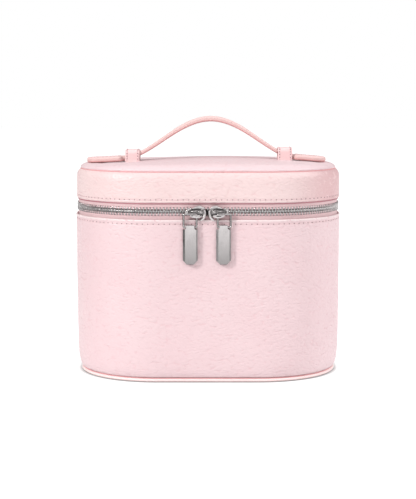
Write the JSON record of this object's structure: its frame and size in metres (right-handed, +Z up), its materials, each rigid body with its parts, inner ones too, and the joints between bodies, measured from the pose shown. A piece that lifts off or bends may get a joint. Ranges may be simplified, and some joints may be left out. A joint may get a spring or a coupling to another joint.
{
  "type": "makeup train case",
  "caption": "Zipped leather vanity case with rounded ends, a hinged padded lid, a carrying strap held by keepers, and metal zip pulls on rings.",
  "frame": {"origin": "middle of the base's flat underside, on the surface that the case stands on", "axes": "+Z up; +X along the width, to the right of someone facing the zip pulls; -Y out of the front, where the zip pulls are"},
  "size_m": [0.22, 0.1542, 0.2114],
  "materials": {
    "wall_leather": "pebbled grain, soft sheen",
    "top_leather": "pebbled grain, soft sheen",
    "base_leather": "pebbled grain",
    "piping_leather": "smooth, soft sheen",
    "strap_leather": "fine grain, folded edges",
    "keeper_leather": "fine grain, stitched edges",
    "hinge_leather": "pebbled grain",
    "fibre_board": "raw pressed fibre",
    "pad_foam": "open-cell foam",
    "lining_cloth": "fine woven lining",
    "zip_tape": "woven zip tape",
    "zip_metal": "polished nickel",
    "pull_metal": "polished nickel, bevelled"
  },
  "bodies": {
    "case": {"body_leather_wall": "wall_leather", "body_stiffener": "fibre_board", "body_lining": "lining_cloth", "base_leather": "base_leather", "base_board": "fibre_board", "base_lining": "lining_cloth", "base_piping": "piping_leather", "lower_zip_tape": "zip_tape", "lower_zip_teeth": "zip_metal", "lower_end_stop_left": "zip_metal", "lower_end_stop_right": "zip_metal", "lower_hinge_strip": "hinge_leather"},
    "lid": {"lid_leather_wall": "wall_leather", "lid_stiffener": "fibre_board", "lid_lining": "lining_cloth", "lid_top_leather": "top_leather", "lid_top_foam": "pad_foam", "lid_top_board": "fibre_board", "lid_top_lining": "lining_cloth", "upper_zip_tape": "zip_tape", "upper_zip_teeth": "zip_metal", "upper_end_stop_left": "zip_metal", "upper_end_stop_right": "zip_metal", "upper_hinge_strip": "hinge_leather", "left_keeper": "keeper_leather", "right_keeper": "keeper_leather", "handle_strap": "strap_leather"},
    "left_strap_end": {"left_strap_end": "strap_leather"},
    "right_strap_end": {"right_strap_end": "strap_leather"},
    "left_slider": {"left_slider": "zip_metal"},
    "left_pull_ring": {"left_pull_ring": "zip_metal"},
    "left_pull_tab": {"left_pull_tab": "pull_metal"},
    "right_slider": {"right_slider": "zip_metal"},
    "right_pull_ring": {"right_pull_ring": "zip_metal"},
    "right_pull_tab": {"right_pull_tab": "pull_metal"}
  },
  "joints": [
    {"name": "lid_hinge", "type": "hinge", "parent": "case", "child": "lid", "pos_m": [0, 0.075, 0.1382], "axis": [-1, 0, 0], "range_deg": [0, 100]},
    {"name": "left_strap_slide", "type": "slide", "parent": "lid", "child": "left_strap_end", "axis": [-1, 0, 0], "range_m": [0, 0.006]},
    {"name": "right_strap_slide", "type": "slide", "parent": "lid", "child": "right_strap_end", "axis": [1, 0, 0], "range_m": [0, 0.006]},
    {"name": "left_slider_run", "type": "slide", "parent": "case", "child": "left_slider", "axis": [-1, 0, 0], "range_m": [0, 0.018]},
    {"name": "left_ring_swing", "type": "hinge", "parent": "left_slider", "child": "left_pull_ring", "pos_m": [-0.0141, -0.07705, 0.1364], "axis": [-1, 0, 0], "range_deg": [0, 100]},
    {"name": "left_tab_swing", "type": "hinge", "parent": "left_pull_ring", "child": "left_pull_tab", "pos_m": [-0.0141, -0.07705, 0.126], "axis": [-1, 0, 0], "range_deg": [0, 90]},
    {"name": "right_slider_run", "type": "slide", "parent": "case", "child": "right_slider", "axis": [1, 0, 0], "range_m": [0, 0.018]},
    {"name": "right_ring_swing", "type": "hinge", "parent": "right_slider", "child": "right_pull_ring", "pos_m": [0.0129, -0.07705, 0.1364], "axis": [-1, 0, 0], "range_deg": [0, 100]},
    {"name": "right_tab_swing", "type": "hinge", "parent": "right_pull_ring", "child": "right_pull_tab", "pos_m": [0.0129, -0.07705, 0.126], "axis": [-1, 0, 0], "range_deg": [0, 90]}
  ],
  "couplings": [
    {"joint": "right_strap_slide", "follows": "left_strap_slide", "ratio": 1}
  ]
}
